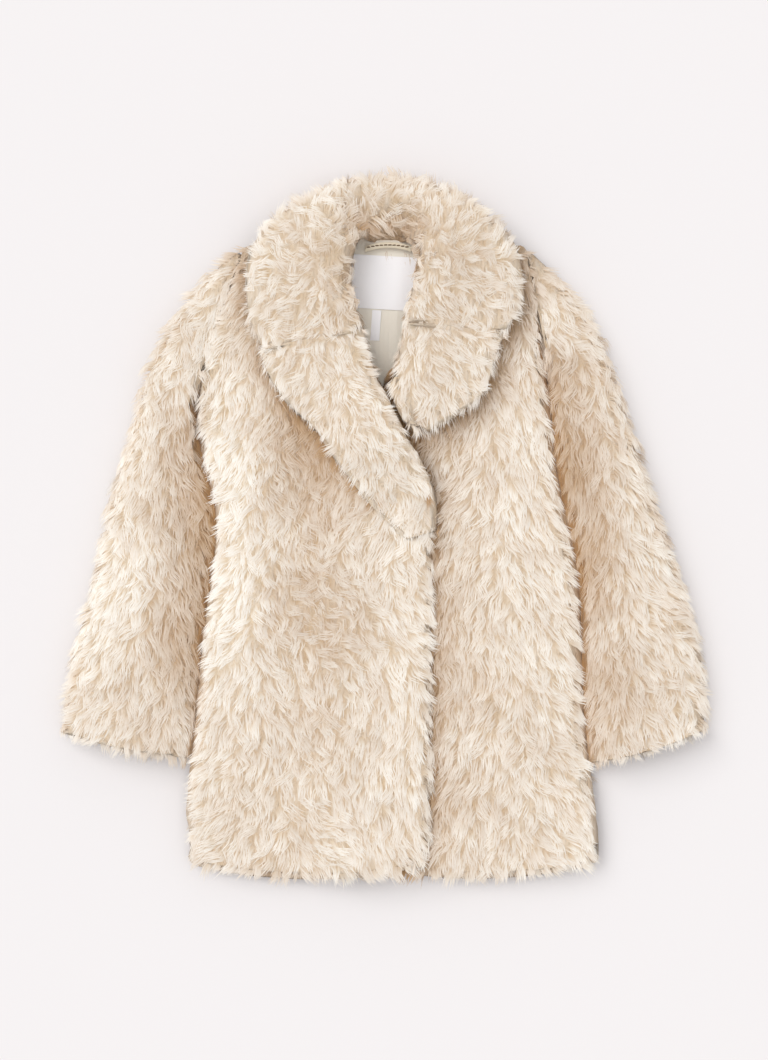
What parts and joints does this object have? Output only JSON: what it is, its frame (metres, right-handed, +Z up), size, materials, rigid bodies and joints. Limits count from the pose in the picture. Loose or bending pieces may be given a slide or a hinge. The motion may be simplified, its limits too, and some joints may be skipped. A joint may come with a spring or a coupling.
{
  "type": "faux fur coat",
  "caption": "Child's long-pile faux fur coat with a notched collar and lapels and long sleeves, laid out flat on its back, fronts crossed, neck open.",
  "frame": {"origin": "middle of the underside, on the surface that the coat lies on", "axes": "+Z up from the surface, +Y towards the collar, +X to the right seen from above, which is the wearer's left"},
  "size_m": [0.6106, 0.664, 0.0716],
  "materials": {
    "pile": "long curly cream pile, matt with a soft sheen",
    "lining": "smooth off-white satin",
    "tape": "woven cotton tape",
    "label": "plain white woven satin, bare"
  },
  "bodies": {
    "root": {"back": "pile", "front_right": "pile", "front_left": "pile", "sleeve_right": "pile", "sleeve_left": "pile", "collar": "pile", "lapel_right": "pile", "lapel_left": "pile", "lining_back": "lining", "hanger_loop": "tape", "neck_label": "label", "care_tag": "label"}
  },
  "joints": []
}
